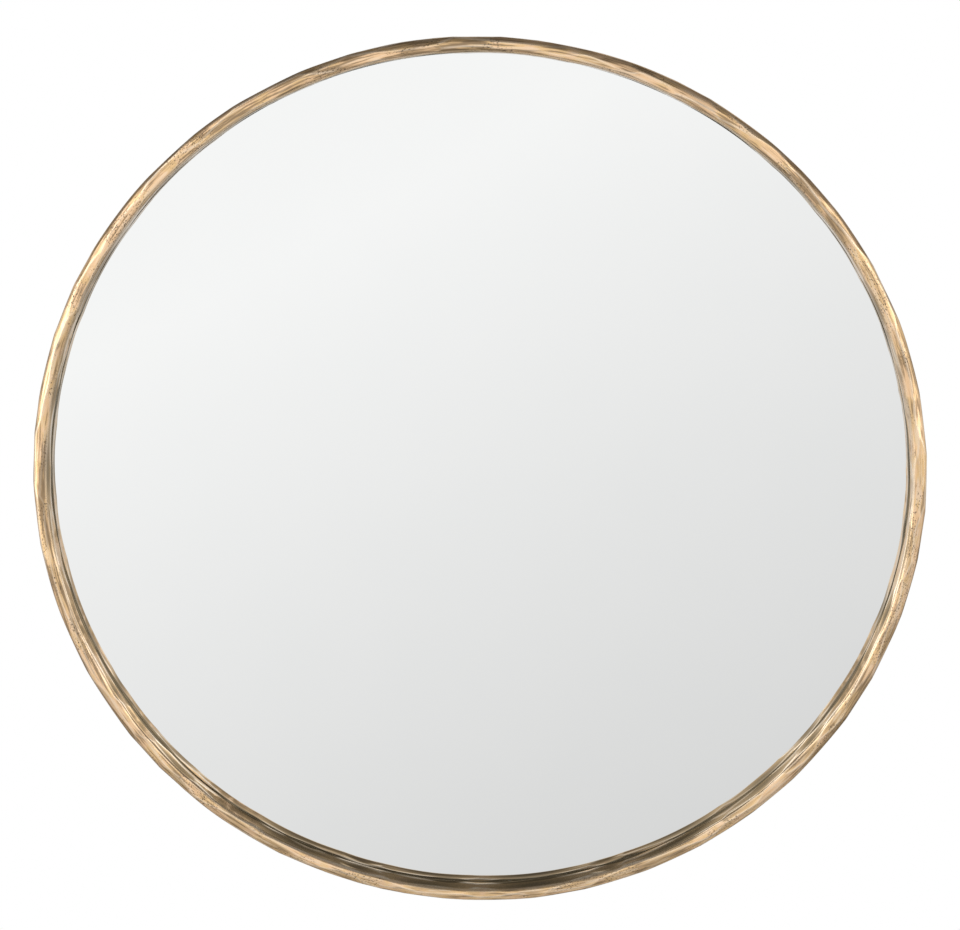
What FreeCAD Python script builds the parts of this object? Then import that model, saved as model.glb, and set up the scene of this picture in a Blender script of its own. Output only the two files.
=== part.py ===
import FreeCAD
import Part

import math
import os

# Round wall mirror: a cast rim with a hand-hammered face stands round a recessed mirror glass.
# The glass is taped to a fibreboard disc, which is screwed to lugs cast on the inside of the rim.
# Two strap hangers with swinging D-rings on the back of the board carry it on wall hooks.
# Lengths are millimetres. The wall is the plane Y = 0, the mirror faces -Y and Z points up.
# Left and right are as seen from the front.

Vector = FreeCAD.Vector

# Stack from the front crest of the rim back to the wall
GLASS_RECESS = 18.0
GLASS_THICKNESS = 4.0
TAPE_THICKNESS = 1.0
BOARD_THICKNESS = 9.0
REAR_RECESS = 8.0

# Rim
RIM_OUTER_DIAMETER = 914.4
RIM_WIDTH = 14.5
RIM_REAR_BEVEL = 0.8

# Hammered ridges: share of the rim's width from its outer wall, then share of its depth from its crest
OUTER_RIDGE_SHARES = (
    (0.00, 0.82),
    (0.00, 0.60),
    (0.00, 0.40),
    (0.01, 0.20),
    (0.08, 0.06),
    (0.34, 0.01),
)
# The same on the inner side, where depth is a share of the glass recess
INNER_RIDGE_SHARES = (
    (0.66, 0.02),
    (0.92, 0.13),
    (0.99, 0.40),
    (1.00, 0.62),
    (1.00, 0.82),
)
RIDGE_LIFT = 0.45
RIDGE_SWAY = 1.1
RING_WANDER = 0.5
LIFT_WAVE_COUNTS = (19, 31, 44)
SWAY_WAVE_COUNTS = (14, 23, 37)
RING_WAVE_COUNTS = (5, 9, 16)
RIDGE_POINT_COUNT = 240
GOLDEN_ANGLE = math.pi * (3 - math.sqrt(5))

# Lugs cast on the inside of the rim, behind the board
LUG_COUNT = 8
LUG_FIRST_ANGLE = 22.5
LUG_WIDTH = 24.0
LUG_REACH = 25.0
LUG_THICKNESS = 4.0
LUG_ROOT_RADIUS = 3.0
LUG_HOLE_DIAMETER = 5.2
LUG_EMBED = 2.0

# Mirror glass and its mounting tape
GLASS_EDGE_CLEARANCE = 0.4
GLASS_ARRIS = 0.8
TAPE_WIDTH = 25.0
TAPE_SPACING = 160.0
TAPE_COUNT = 5
TAPE_LENGTH_SHARE = 0.82

# Backing board
BOARD_EDGE_CLEARANCE = 1.0
BOARD_BEVEL = 0.8

# Screws and washers
SCREW_DIAMETER = 4.0
SCREW_HEAD_DIAMETER = 8.0
SCREW_HEAD_HEIGHT = 2.4
SCREW_HEAD_RIM = 0.7
SCREW_BITE = 6.5
SCREW_TIP = 2.0
SCREW_HOLE_CLEARANCE = 0.05
WASHER_DIAMETER = 10.0
WASHER_BORE = 4.6
WASHER_THICKNESS = 0.8

# Strap hangers
HANGER_SPACING = 406.4
HANGER_HEIGHT = 165.0
STRAP_WIDTH = 16.0
STRAP_SHEET = 1.0
STRAP_LENGTH = 46.0
STRAP_FOLD_LENGTH = 3.0
STRAP_FIRST_HOLE = 11.0
STRAP_HOLE_PITCH = 23.0
STRAP_HOLE_DIAMETER = 4.4

# D-rings: a round wire bent to a D, its straight bar held in the strap's fold
RING_WIRE_DIAMETER = 3.0
RING_BAR_LENGTH = 17.0
RING_CORNER_RADIUS = 4.0
RING_LEG_LENGTH = 1.0
RING_BORE_CLEARANCE = 0.06
RING_BOARD_GAP = 0.3

# Reach of a cutting solid past the face it opens
CUT_OVERRUN = 1.0

# Places worked out from the sizes above
RIM_DEPTH = GLASS_RECESS + GLASS_THICKNESS + TAPE_THICKNESS + BOARD_THICKNESS + REAR_RECESS
RIM_OUTER_RADIUS = RIM_OUTER_DIAMETER / 2
RIM_INNER_RADIUS = RIM_OUTER_RADIUS - RIM_WIDTH
CREST_Y = -RIM_DEPTH
GLASS_FRONT_Y = CREST_Y + GLASS_RECESS
GLASS_BACK_Y = GLASS_FRONT_Y + GLASS_THICKNESS
BOARD_FRONT_Y = GLASS_BACK_Y + TAPE_THICKNESS
BOARD_BACK_Y = BOARD_FRONT_Y + BOARD_THICKNESS
LUG_BACK_Y = BOARD_BACK_Y + LUG_THICKNESS
LUG_HOLE_RADIUS = RIM_INNER_RADIUS - LUG_REACH + LUG_WIDTH / 2
STRAP_BACK_Y = BOARD_BACK_Y + 2 * STRAP_SHEET
RING_WIRE_RADIUS = RING_WIRE_DIAMETER / 2
FOLD_BORE_RADIUS = RING_WIRE_RADIUS + RING_BORE_CLEARANCE
FOLD_RADIUS = FOLD_BORE_RADIUS + STRAP_SHEET
PIVOT_Y = BOARD_BACK_Y + FOLD_RADIUS
HANGERS = {"left": -HANGER_SPACING / 2, "right": HANGER_SPACING / 2}


# Shared helpers

def disc(radius, front_y, thickness, bevel):
    """Flat disc about the Y axis with both edges bevelled."""
    solid = Part.makeCylinder(radius, thickness, Vector(0, front_y, 0), Vector(0, 1, 0))
    rims = [edge for edge in solid.Edges if edge.Curve.TypeId == "Part::GeomCircle"]
    return solid.makeChamfer(bevel, rims)


def hole_cutter(x, z, diameter, from_y, to_y):
    """Cylinder along Y that cuts a round hole between two depths."""
    return Part.makeCylinder(diameter / 2, to_y - from_y, Vector(x, from_y, z), Vector(0, 1, 0))


def save(name, solids):
    """Write one node's solids to its own file."""
    shape = solids[0] if len(solids) == 1 else Part.makeCompound(solids)
    shape.exportStep(os.path.join("parts", name + ".step"))
    print(name, len(solids), "solids", round(shape.Volume), "mm3", shape.isValid())


# Rim

def ripple(theta, ridge, wave_counts):
    """Uneven wave from -1 to 1 that closes on itself round the rim and differs from ridge to ridge."""
    waves = [
        math.sin(count * theta + GOLDEN_ANGLE * (ridge + 1) * (index + 2))
        for index, count in enumerate(wave_counts)
    ]
    return sum(waves) / len(waves)


def ridge_profile():
    """Mean place of every ridge in the rim's section, as (radius, Y), from the outer rear inwards."""
    outer = [
        (RIM_OUTER_RADIUS - width_share * RIM_WIDTH, CREST_Y + depth_share * RIM_DEPTH)
        for width_share, depth_share in OUTER_RIDGE_SHARES
    ]
    inner = [
        (RIM_OUTER_RADIUS - width_share * RIM_WIDTH, CREST_Y + depth_share * GLASS_RECESS)
        for width_share, depth_share in INNER_RIDGE_SHARES
    ]
    return outer + inner


def ridge_edge(ridge, before, here, after):
    """Closed smooth ridge line that wavers along and across the rim's surface round its mean place."""
    run_radius = after[0] - before[0]
    run_y = after[1] - before[1]
    run_length = math.hypot(run_radius, run_y)
    along = (run_radius / run_length, run_y / run_length)
    outward = (-along[1], along[0])
    points = []
    for step in range(RIDGE_POINT_COUNT):
        theta = 2 * math.pi * step / RIDGE_POINT_COUNT
        lift = RIDGE_LIFT * ripple(theta, ridge, LIFT_WAVE_COUNTS)
        sway = RIDGE_SWAY * ripple(theta, ridge, SWAY_WAVE_COUNTS)
        wander = RING_WANDER * ripple(theta, 0, RING_WAVE_COUNTS)
        radius = here[0] + wander + lift * outward[0] + sway * along[0]
        y = here[1] + lift * outward[1] + sway * along[1]
        points.append(Vector(radius * math.cos(theta), y, radius * math.sin(theta)))
    curve = Part.BSplineCurve()
    curve.interpolate(Points=points, PeriodicFlag=True)
    return curve.toShape()


def ring_edge(radius, y):
    """Plain circle about the Y axis that starts on the +X side and runs with the ridges."""
    circle = Part.Circle(Vector(0, y, 0), Vector(0, -1, 0), radius)
    circle.XAxis = Vector(1, 0, 0)
    return circle.toShape()


def hammered_ring():
    """The rim's bar without lugs: ruled faces between ridge lines, a plain inner wall and a flat rear."""
    rear_outer = (RIM_OUTER_RADIUS - RIM_REAR_BEVEL, 0)
    foot = (RIM_INNER_RADIUS, GLASS_FRONT_Y)
    rear_inner = (RIM_INNER_RADIUS, 0)
    profile = ridge_profile()
    chain = [rear_outer] + profile + [foot]
    edges = [ring_edge(*rear_outer)]
    for ridge, here in enumerate(profile):
        edges.append(ridge_edge(ridge, chain[ridge], here, chain[ridge + 2]))
    edges.append(ring_edge(*foot))
    faces = [Part.makeRuledSurface(first, second) for first, second in zip(edges, edges[1:])]
    faces.append(edges[-1].extrude(Vector(0, -GLASS_FRONT_Y, 0)))
    rear_wires = [Part.Wire(ring_edge(*rear_outer)), Part.Wire(ring_edge(*rear_inner))]
    faces.append(Part.makeFace(rear_wires, "Part::FaceMakerBullseye"))
    shell = Part.makeShell(faces)
    shell.sewShape()
    ring = Part.makeSolid(shell)
    if ring.Volume < 0:
        ring.reverse()
    return ring


def lug():
    """One lug on the +X side: a round-ended plate that thickens in a cast fillet where it meets the rim."""
    root = RIM_INNER_RADIUS + LUG_EMBED
    inner_end = RIM_INNER_RADIUS - LUG_REACH
    fillet_start = RIM_INNER_RADIUS - LUG_ROOT_RADIUS
    fillet_top_y = LUG_BACK_Y + LUG_ROOT_RADIUS
    fillet_centre = Vector(fillet_start, fillet_top_y, 0)
    fillet_middle = fillet_centre + Vector(1, -1, 0).normalize() * LUG_ROOT_RADIUS
    corners = [
        Vector(inner_end, BOARD_BACK_Y, 0),
        Vector(root, BOARD_BACK_Y, 0),
        Vector(root, fillet_top_y, 0),
        Vector(RIM_INNER_RADIUS, fillet_top_y, 0),
        Vector(fillet_start, LUG_BACK_Y, 0),
        Vector(inner_end, LUG_BACK_Y, 0),
    ]
    side = [Part.LineSegment(corners[i], corners[i + 1]).toShape() for i in range(3)]
    side.append(Part.Arc(corners[3], fillet_middle, corners[4]).toShape())
    side.append(Part.LineSegment(corners[4], corners[5]).toShape())
    side.append(Part.LineSegment(corners[5], corners[0]).toShape())
    body = Part.Face(Part.Wire(side)).extrude(Vector(0, 0, LUG_WIDTH))
    body.translate(Vector(0, 0, -LUG_WIDTH / 2))

    plan_depth = fillet_top_y - BOARD_BACK_Y
    nose = Part.makeCylinder(
        LUG_WIDTH / 2, plan_depth, Vector(LUG_HOLE_RADIUS, BOARD_BACK_Y, 0), Vector(0, 1, 0)
    )
    shank = Part.makeBox(
        root - LUG_HOLE_RADIUS, plan_depth, LUG_WIDTH,
        Vector(LUG_HOLE_RADIUS, BOARD_BACK_Y, -LUG_WIDTH / 2),
    )
    plan = nose.fuse(shank).removeSplitter()
    hole = hole_cutter(
        LUG_HOLE_RADIUS, 0, LUG_HOLE_DIAMETER, BOARD_BACK_Y - CUT_OVERRUN, fillet_top_y + CUT_OVERRUN
    )
    return body.common(plan).cut(hole)


def round_the_rim(solid):
    """Copies of a solid at every lug's angle."""
    copies = []
    for index in range(LUG_COUNT):
        copy = solid.copy()
        angle = LUG_FIRST_ANGLE + index * 360 / LUG_COUNT
        copy.rotate(Vector(0, 0, 0), Vector(0, -1, 0), angle)
        copies.append(copy)
    return copies


def rim():
    """Cast rim with its lugs, one solid."""
    return hammered_ring().fuse(round_the_rim(lug())).removeSplitter()


# Glass, tape and board

def mirror_glass():
    """Silvered float glass with its edges arrissed."""
    return disc(RIM_INNER_RADIUS - GLASS_EDGE_CLEARANCE, GLASS_FRONT_Y, GLASS_THICKNESS, GLASS_ARRIS)


def mounting_tape():
    """Upright strips of foam tape between the glass and the board, shorter towards the sides."""
    strips = []
    reach = RIM_INNER_RADIUS - BOARD_EDGE_CLEARANCE
    for index in range(TAPE_COUNT):
        x = (index - (TAPE_COUNT - 1) / 2) * TAPE_SPACING
        length = 2 * TAPE_LENGTH_SHARE * math.sqrt(reach ** 2 - x ** 2)
        corner = Vector(x - TAPE_WIDTH / 2, GLASS_BACK_Y, -length / 2)
        strips.append(Part.makeBox(TAPE_WIDTH, TAPE_THICKNESS, length, corner))
    return strips


def lug_places():
    """Centres of the lug holes as (x, z)."""
    angles = [math.radians(LUG_FIRST_ANGLE + index * 360 / LUG_COUNT) for index in range(LUG_COUNT)]
    return [(LUG_HOLE_RADIUS * math.cos(angle), LUG_HOLE_RADIUS * math.sin(angle)) for angle in angles]


def strap_hole_places(hanger_x):
    """Centres of one strap's two holes as (x, z)."""
    first_z = HANGER_HEIGHT - STRAP_FIRST_HOLE
    return [(hanger_x, first_z), (hanger_x, first_z - STRAP_HOLE_PITCH)]


def hanger_hole_places():
    """Centres of the holes of both straps as (x, z)."""
    return [place for hanger_x in HANGERS.values() for place in strap_hole_places(hanger_x)]


def backing_board():
    """Fibreboard disc with a pilot hole for every screw."""
    board = disc(RIM_INNER_RADIUS - BOARD_EDGE_CLEARANCE, BOARD_FRONT_Y, BOARD_THICKNESS, BOARD_BEVEL)
    places = lug_places() + hanger_hole_places()
    pilot = SCREW_DIAMETER + 2 * SCREW_HOLE_CLEARANCE
    floor_y = BOARD_BACK_Y - SCREW_BITE - SCREW_HOLE_CLEARANCE
    holes = [hole_cutter(x, z, pilot, floor_y, BOARD_BACK_Y + CUT_OVERRUN) for x, z in places]
    return board.cut(holes)


# Screws and washers

def screw(x, z, seat_y):
    """Pan-head wood screw along Y, its head seated at seat_y and its point in the board."""
    head_radius = SCREW_HEAD_DIAMETER / 2
    shank_radius = SCREW_DIAMETER / 2
    tip_y = BOARD_BACK_Y - SCREW_BITE
    head_y = seat_y + SCREW_HEAD_HEIGHT
    edge_y = seat_y + SCREW_HEAD_RIM
    dome_height = head_y - edge_y
    dome_radius = (head_radius ** 2 + dome_height ** 2) / (2 * dome_height)
    dome_centre = Vector(0, head_y - dome_radius, 0)
    half_way = math.asin(head_radius / dome_radius) / 2
    dome_middle = dome_centre + Vector(math.sin(half_way), math.cos(half_way), 0) * dome_radius
    corners = [
        Vector(0, tip_y, 0),
        Vector(shank_radius, tip_y + SCREW_TIP, 0),
        Vector(shank_radius, seat_y, 0),
        Vector(head_radius, seat_y, 0),
        Vector(head_radius, edge_y, 0),
    ]
    outline = [Part.LineSegment(first, second).toShape() for first, second in zip(corners, corners[1:])]
    outline.append(Part.Arc(corners[-1], dome_middle, Vector(0, head_y, 0)).toShape())
    outline.append(Part.LineSegment(Vector(0, head_y, 0), corners[0]).toShape())
    body = Part.Face(Part.Wire(outline)).revolve(Vector(0, 0, 0), Vector(0, 1, 0), 360)
    body.translate(Vector(x, 0, z))
    return body


def washer(x, z):
    """Flat washer on the back of a lug."""
    solid = Part.makeCylinder(
        WASHER_DIAMETER / 2, WASHER_THICKNESS, Vector(x, LUG_BACK_Y, z), Vector(0, 1, 0)
    )
    bore = hole_cutter(
        x, z, WASHER_BORE, LUG_BACK_Y - CUT_OVERRUN, LUG_BACK_Y + WASHER_THICKNESS + CUT_OVERRUN
    )
    return solid.cut(bore)


# Strap hangers

def hanger_strap(x):
    """Steel strip folded double round the ring's bar, with two screw holes through both layers."""
    pivot = Vector(0, PIVOT_Y, HANGER_HEIGHT)
    fold_end_z = HANGER_HEIGHT - FOLD_RADIUS - STRAP_FOLD_LENGTH
    tail_z = HANGER_HEIGHT - STRAP_LENGTH
    # The upper layer leaves the fold on the tangent that meets the doubled strip at fold_end_z
    to_end = Vector(0, STRAP_BACK_Y, fold_end_z) - pivot
    spread = math.acos(FOLD_RADIUS / to_end.Length)
    bearing = math.atan2(to_end.z, to_end.y) + spread
    tangent = pivot + Vector(0, math.cos(bearing), math.sin(bearing)) * FOLD_RADIUS
    crown = pivot + Vector(0, 0, FOLD_RADIUS)
    underside = pivot - Vector(0, FOLD_RADIUS, 0)
    corners = [
        underside,
        Vector(0, BOARD_BACK_Y, tail_z),
        Vector(0, STRAP_BACK_Y, tail_z),
        Vector(0, STRAP_BACK_Y, fold_end_z),
        tangent,
    ]
    outline = [Part.LineSegment(first, second).toShape() for first, second in zip(corners, corners[1:])]
    outline.append(Part.Arc(tangent, crown, underside).toShape())
    strip = Part.Face(Part.Wire(outline)).extrude(Vector(STRAP_WIDTH, 0, 0))
    strip.translate(Vector(x - STRAP_WIDTH / 2, 0, 0))
    bore = Part.makeCylinder(
        FOLD_BORE_RADIUS, STRAP_WIDTH + 2 * CUT_OVERRUN,
        Vector(x - STRAP_WIDTH / 2 - CUT_OVERRUN, PIVOT_Y, HANGER_HEIGHT), Vector(1, 0, 0),
    )
    tail = Part.makeCylinder(
        STRAP_WIDTH / 2, 2 * STRAP_SHEET,
        Vector(x, BOARD_BACK_Y, tail_z + STRAP_WIDTH / 2), Vector(0, 1, 0),
    )
    square_tail = Part.makeBox(
        STRAP_WIDTH, 2 * STRAP_SHEET, STRAP_WIDTH / 2,
        Vector(x - STRAP_WIDTH / 2, BOARD_BACK_Y, tail_z),
    )
    holes = [
        hole_cutter(
            hole_x, hole_z, STRAP_HOLE_DIAMETER, BOARD_BACK_Y - CUT_OVERRUN, STRAP_BACK_Y + CUT_OVERRUN
        )
        for hole_x, hole_z in strap_hole_places(x)
    ]
    return strip.cut([bore] + holes).cut(square_tail.cut(tail))


def hanger_ring(x):
    """Wire D whose bar turns in the strap's fold, leaning on the board with its bow upwards."""
    bar_end = RING_BAR_LENGTH / 2
    side = bar_end + RING_CORNER_RADIUS
    bow_z = RING_CORNER_RADIUS + RING_LEG_LENGTH
    corner = RING_CORNER_RADIUS * (1 - math.cos(math.radians(45)))
    right = [
        Vector(bar_end, 0, 0),
        Vector(side - corner, 0, corner),
        Vector(side, 0, RING_CORNER_RADIUS),
        Vector(side, 0, bow_z),
    ]
    left = [Vector(-point.x, 0, point.z) for point in right]
    bow = Vector(0, 0, bow_z + side)
    path = Part.Wire([
        Part.LineSegment(left[0], right[0]).toShape(),
        Part.Arc(*right[:3]).toShape(),
        Part.LineSegment(right[2], right[3]).toShape(),
        Part.Arc(right[3], bow, left[3]).toShape(),
        Part.LineSegment(left[3], left[2]).toShape(),
        Part.Arc(left[2], left[1], left[0]).toShape(),
    ])
    section = Part.Wire(Part.Circle(left[0], Vector(1, 0, 0), RING_WIRE_RADIUS).toShape())
    ring = path.makePipeShell([section], True, True)
    lean_depth = FOLD_RADIUS - RING_WIRE_RADIUS - RING_BOARD_GAP
    lean = math.degrees(math.asin(lean_depth / bow.z))
    ring.rotate(Vector(0, 0, 0), Vector(1, 0, 0), lean)
    ring.translate(Vector(x, PIVOT_Y, HANGER_HEIGHT))
    return ring


def main():
    """Build every piece and write it to its own file."""
    os.makedirs("parts", exist_ok=True)
    save("rim", [rim()])
    save("mirror_glass", [mirror_glass()])
    save("mounting_tape", mounting_tape())
    save("backing_board", [backing_board()])
    save("board_washers", [washer(x, z) for x, z in lug_places()])
    save("board_screws", [screw(x, z, LUG_BACK_Y + WASHER_THICKNESS) for x, z in lug_places()])
    for side, x in HANGERS.items():
        save("hanger_strap_" + side, [hanger_strap(x)])
        save("hanger_ring_" + side, [hanger_ring(x)])
    save("hanger_screws", [screw(x, z, STRAP_BACK_Y) for x, z in hanger_hole_places()])


main()
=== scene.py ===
"""Round wall mirror: a hammered antique-gold ring round a silvered glass that sits well back inside it.

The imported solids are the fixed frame. This script makes the hammered ring, its lugs, the glass and the
pressed screws as meshes, dresses every other solid, and sets up a pale studio and the camera.
"""

from __future__ import annotations

import logging
import math
from collections.abc import Iterator, Mapping, Sequence
from dataclasses import dataclass, field
from enum import Enum
from functools import cached_property, partial, reduce

import bpy
import numpy as np
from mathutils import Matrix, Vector

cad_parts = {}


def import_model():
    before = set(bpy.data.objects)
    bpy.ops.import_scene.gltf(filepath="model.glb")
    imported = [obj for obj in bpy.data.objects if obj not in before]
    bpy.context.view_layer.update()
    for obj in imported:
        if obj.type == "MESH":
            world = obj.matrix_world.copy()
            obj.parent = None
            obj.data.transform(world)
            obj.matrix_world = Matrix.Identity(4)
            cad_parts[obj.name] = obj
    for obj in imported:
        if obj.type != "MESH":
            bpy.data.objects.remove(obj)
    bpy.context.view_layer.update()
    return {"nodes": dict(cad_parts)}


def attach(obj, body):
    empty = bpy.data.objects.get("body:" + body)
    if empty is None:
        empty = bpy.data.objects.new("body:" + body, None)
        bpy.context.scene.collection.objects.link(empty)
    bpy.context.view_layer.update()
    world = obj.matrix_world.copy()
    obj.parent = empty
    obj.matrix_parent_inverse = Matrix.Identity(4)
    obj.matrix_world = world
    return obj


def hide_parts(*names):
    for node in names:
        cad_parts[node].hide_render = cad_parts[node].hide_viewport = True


LOG = logging.getLogger("round_mirror")
MM = 0.001

BOARD_SCREW_UNDERSIDE = -3.2 * MM
STRAP_SCREW_UNDERSIDE = -6.0 * MM
STRAP_REACH = 203.2 * MM
STRAP_HOLE_LEVELS = (154.0 * MM, 131.0 * MM)

Array = np.ndarray
Tree = bpy.types.NodeTree
Node = bpy.types.Node
Outputs = bpy.types.NodeOutputs
Socket = bpy.types.NodeSocket
Material = bpy.types.Material
Piece = bpy.types.Object
Colour = tuple[float, float, float]
Point = tuple[float, float, float]
Range = tuple[float, float]
Knots = tuple[int, int]
Feed = float | Sequence[float] | Socket
Values = Array | float


class Body(Enum):
    """The body that the new pieces ride on."""

    MIRROR = "mirror"


class Slot(Enum):
    """Names of material slots for the new pieces, which this script does not assign."""

    RIM_METAL = "rim_metal"
    MIRROR = "mirror"
    STEEL = "steel"


class NodeSheet:
    """Short calls for adding nodes to one node tree and joining them."""

    def __init__(self, tree: Tree) -> None:
        """Keep the tree that the nodes go into."""
        self.tree = tree

    def fill(self, node: Node, feeds: Mapping[str | int, Feed]) -> None:
        """Join outputs to a node's inputs, or set plain values on them.

        Args:
            node: The node to fill.
            feeds: What each named or numbered input takes.
        """
        for key, value in feeds.items():
            if isinstance(value, Socket):
                self.tree.links.new(value, node.inputs[key])
            else:
                node.inputs[key].default_value = value

    def add(self, kind: str, feeds: Mapping[str | int, Feed] | None = None, **settings: object) -> Node:
        """Add one node.

        Args:
            kind: The node's type without its common prefix.
            feeds: What each named or numbered input takes.
            settings: The node's own options.

        Returns:
            The new node.
        """
        node = self.tree.nodes.new("ShaderNode" + kind)
        for name, value in settings.items():
            setattr(node, name, value)
        self.fill(node, feeds or {})
        return node

    def effect(self, tree: Tree, feeds: Mapping[str, Feed]) -> Outputs:
        """Place a shared effect and hand back its outputs."""
        return self.add("Group", feeds, node_tree=tree).outputs

    def specks(self, place: Feed, spots: float, size: float, patches: float, start: float) -> Socket:
        """Scatter spots, by their scale and size and by the scale and start of their patches."""
        scales = {"Place": place, "Spot Scale": spots, "Patch Scale": patches}
        return self.effect(speck_group(), {**scales, "Spot Size": size, "Patch Start": start})["Spots"]

    def math(self, operation: str, first: Feed, second: Feed = 0.0) -> Socket:
        """Work out one value from two, by the sum's Blender name."""
        return self.add("Math", {0: first, 1: second}, operation=operation).outputs[0]

    def times(self, *values: Feed) -> Socket:
        """Multiply values with each other."""
        return reduce(partial(self.math, "MULTIPLY"), values)

    def plus(self, *values: Feed) -> Socket:
        """Add values up."""
        return reduce(partial(self.math, "ADD"), values)

    def minus(self, first: Feed, second: Feed) -> Socket:
        """Take the second value from the first."""
        return self.math("SUBTRACT", first, second)

    def most(self, first: Feed, second: Feed) -> Socket:
        """Take the larger of two values."""
        return self.math("MAXIMUM", first, second)

    def within(self, value: Feed, low: float = 0.0, high: float = 1.0) -> Socket:
        """Keep a value between low and high."""
        return self.add("Clamp", {0: value, 1: low, 2: high}).outputs[0]

    def ease(self, value: Feed, low: float, high: float) -> Socket:
        """Turn a value into a soft mask that is 0 at low and 1 at high, which may be below low."""
        feeds = {0: value, 1: low, 2: high, 3: 0.0, 4: 1.0}
        return self.add("MapRange", feeds, interpolation_type="SMOOTHSTEP").outputs[0]

    def span(self, value: Feed, low: float, high: float) -> Socket:
        """Stretch a value from 0 to 1 over the range from low to high."""
        return self.add("MapRange", {0: value, 1: 0.0, 2: 1.0, 3: low, 4: high}).outputs[0]

    def blend(self, share: Feed, first: Feed, second: Feed) -> Socket:
        """Mix two colours, where share says how much of the second one shows."""
        colours = [(*c, 1.0) if isinstance(c, tuple) and len(c) == 3 else c for c in (first, second)]
        return self.add("Mix", {0: share, 6: colours[0], 7: colours[1]}, data_type="RGBA").outputs[2]

    def noise(self, place: Feed, scale: Feed, detail: float = 3.0) -> Socket:
        """Read a cloud noise, about 0.5 on average, by its clouds to a metre and its finer layers."""
        return self.add("TexNoise", {"Vector": place, "Scale": scale, "Detail": detail}).outputs[0]

    def stored(self, name: str) -> Socket:
        """Read a value that the mesh stores at its points."""
        return self.add("Attribute", attribute_name=name).outputs["Fac"]

    def place(self) -> Socket:
        """Read a point's place on its own piece, in metres."""
        return self.add("TexCoord").outputs["Object"]

    def parts(self, vector: Feed) -> Outputs:
        """Split a vector into its x, y and z."""
        return self.add("SeparateXYZ", {0: vector}).outputs

    def upright(self, place: Feed, share: float) -> Socket:
        """Make coordinates in which marks come out long up and down, and share says how long."""
        return self.add("VectorMath", {0: place, 1: (1.0, 1.0, share)}, operation="MULTIPLY").outputs[0]

    def shade(self, feeds: Mapping[str, Feed]) -> None:
        """Fill the inputs of the material's shader."""
        self.fill(self.tree.nodes["Principled BSDF"], feeds)

    def roughen(self, height: Feed, depth: float) -> None:
        """Put a fine relief on the shader, with heights from 0 to 1 and its depth in metres."""
        bump = self.add("Bump", {"Height": height, "Distance": depth})
        self.shade({"Normal": bump.outputs["Normal"]})


def effect_group(
    name: str, inputs: Mapping[str, float | None], outputs: Sequence[str]
) -> tuple[NodeSheet, Outputs, Node]:
    """Start a node group that several finishes share.

    Args:
        name: The group's name.
        inputs: Each input with its usual value, or None for coordinates.
        outputs: The masks and heights that the group puts out.

    Returns:
        The group's sheet, what the group is given, and the node that takes what it puts out.
    """
    tree = bpy.data.node_groups.new(name, "ShaderNodeTree")
    for label, usual in inputs.items():
        kind = "NodeSocketVector" if usual is None else "NodeSocketFloat"
        socket = tree.interface.new_socket(label, in_out="INPUT", socket_type=kind)
        if usual is not None:
            socket.default_value = usual
    for label in outputs:
        tree.interface.new_socket(label, in_out="OUTPUT", socket_type="NodeSocketFloat")
    given = tree.nodes.new("NodeGroupInput").outputs
    return NodeSheet(tree), given, tree.nodes.new("NodeGroupOutput")


def speck_group() -> Tree:
    """Make or find the group for small spots that gather in patches.

    Returns:
        A group with the mask "Spots".
    """
    name = "specks_in_patches"
    if name in bpy.data.node_groups:
        return bpy.data.node_groups[name]
    patch_contrast, ragged_scale, raggedness, soft_edge = 7.0, 1.7, 0.9, 0.2
    usual = {"Place": None, "Spot Scale": 900.0, "Patch Scale": 60.0, "Spot Size": 0.25, "Patch Start": 0.52}
    sheet, given, end = effect_group(name, usual, ("Spots",))
    place, spot_scale = given["Place"], given["Spot Scale"]
    cloud = sheet.minus(sheet.noise(place, given["Patch Scale"]), given["Patch Start"])
    patches = sheet.ease(sheet.times(cloud, patch_contrast), 0.0, 1.0)
    cells = sheet.add("TexVoronoi", {"Vector": place, "Scale": spot_scale}).outputs["Distance"]
    ragged = sheet.minus(sheet.noise(place, sheet.times(spot_scale, ragged_scale), 2.0), 0.5)
    inside = sheet.minus(given["Spot Size"], sheet.plus(cells, sheet.times(ragged, raggedness)))
    sheet.fill(end, {"Spots": sheet.times(sheet.ease(inside, 0.0, soft_edge), patches)})
    return sheet.tree


def streak_group() -> Tree:
    """Make or find the group for fine streaks left by rubbing or rolling.

    Returns:
        A group with the mask "Streaks" and the height "Height".
    """
    name = "rubbing_streaks"
    if name in bpy.data.node_groups:
        return bpy.data.node_groups[name]
    broad_scale, fine_share, broad_share, swing = 0.22, 0.6, 0.4, 4.0
    usual = {"Place": None, "Scale": 900.0, "Contrast": 0.5}
    sheet, given, end = effect_group(name, usual, ("Streaks", "Height"))
    fine = sheet.noise(given["Place"], given["Scale"], 2.0)
    broad = sheet.noise(given["Place"], sheet.times(given["Scale"], broad_scale), 2.0)
    both = sheet.plus(sheet.times(fine, fine_share), sheet.times(broad, broad_share))
    streaks = sheet.times(sheet.minus(both, 0.5), swing, given["Contrast"])
    sheet.fill(end, {"Streaks": sheet.within(sheet.plus(streaks, 0.5)), "Height": both})
    return sheet.tree


class Finish:
    """What every finish can do: build its material and lay it on pieces."""

    name: str

    def lay_out(self, sheet: NodeSheet) -> None:
        """Lay out the material's nodes."""
        raise NotImplementedError

    def material(self) -> Material:
        """Build the finish's material.

        Returns:
            The material.
        """
        material = bpy.data.materials.new(self.name)
        material.use_nodes = True
        self.lay_out(NodeSheet(material.node_tree))
        return material

    def lay_on(self, *pieces: Piece) -> None:
        """Give every piece this finish and nothing else.

        Args:
            pieces: The pieces to dress.
        """
        material = self.material()
        for piece in pieces:
            piece.data.materials.clear()
            piece.data.materials.append(material)


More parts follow.
